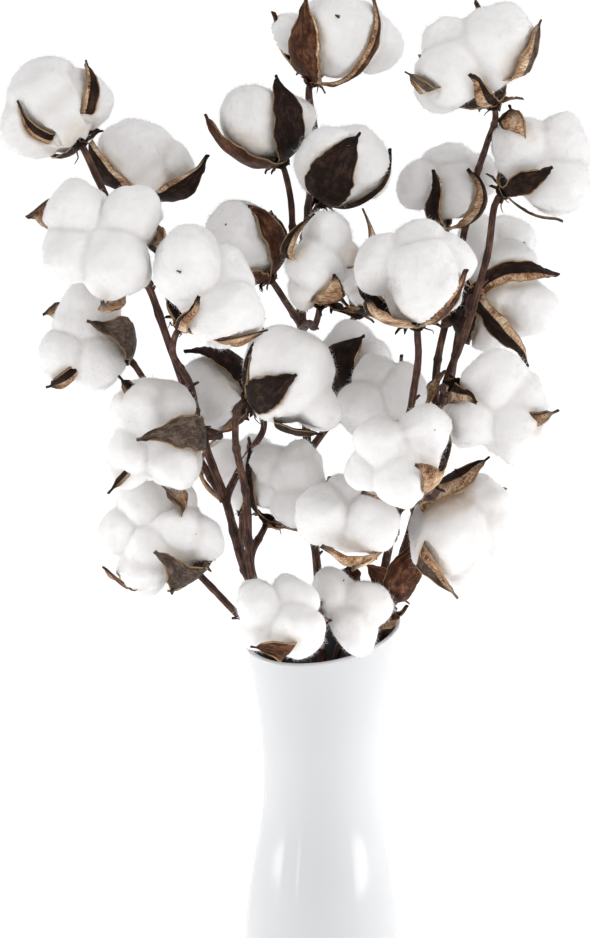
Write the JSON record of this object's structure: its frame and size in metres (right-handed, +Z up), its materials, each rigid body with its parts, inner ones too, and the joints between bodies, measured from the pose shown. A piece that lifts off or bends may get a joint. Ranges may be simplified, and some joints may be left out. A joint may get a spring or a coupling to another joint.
{
  "type": "cotton stem bunch in a vase",
  "caption": "Dried cotton stalks with open bolls in dark burs, standing in a white glazed vase with a waist and a slanted mouth.",
  "frame": {"origin": "centre of the vase's flat underside", "axes": "+Z up along the vase's axis; -Y is the bouquet's front and +X its right, seen from the front"},
  "size_m": [0.3319, 0.2156, 0.6228],
  "materials": {
    "glaze": "gloss",
    "cotton": "matte",
    "bark": "matte"
  },
  "bodies": {
    "root": {"cotton_front_low": "cotton", "cotton_front_middle": "cotton", "cotton_front_top": "cotton", "cotton_inner_front": "cotton", "cotton_inner_low": "cotton", "cotton_left_back": "cotton", "cotton_left_behind": "cotton", "cotton_left_front": "cotton", "cotton_left_high": "cotton", "cotton_left_inner": "cotton", "cotton_left_outer": "cotton", "cotton_left_side": "cotton", "cotton_left_top": "cotton", "cotton_low_left": "cotton", "cotton_middle_back": "cotton", "cotton_middle_front": "cotton", "cotton_middle_high": "cotton", "cotton_middle_left": "cotton", "cotton_middle_low": "cotton", "cotton_middle_right": "cotton", "cotton_middle_top": "cotton", "cotton_right_back": "cotton", "cotton_right_high": "cotton", "cotton_right_inner": "cotton", "cotton_right_low": "cotton", "cotton_right_outer": "cotton", "cotton_right_rim": "cotton", "cotton_right_side": "cotton", "cotton_right_top": "cotton", "cotton_rim_left": "cotton", "cotton_rim_right": "cotton", "stalk_front": "bark", "stalk_inner": "bark", "stalk_left": "bark", "stalk_low": "bark", "stalk_middle": "bark", "stalk_right": "bark", "stalk_rim": "bark", "vase": "glaze"}
  },
  "joints": []
}
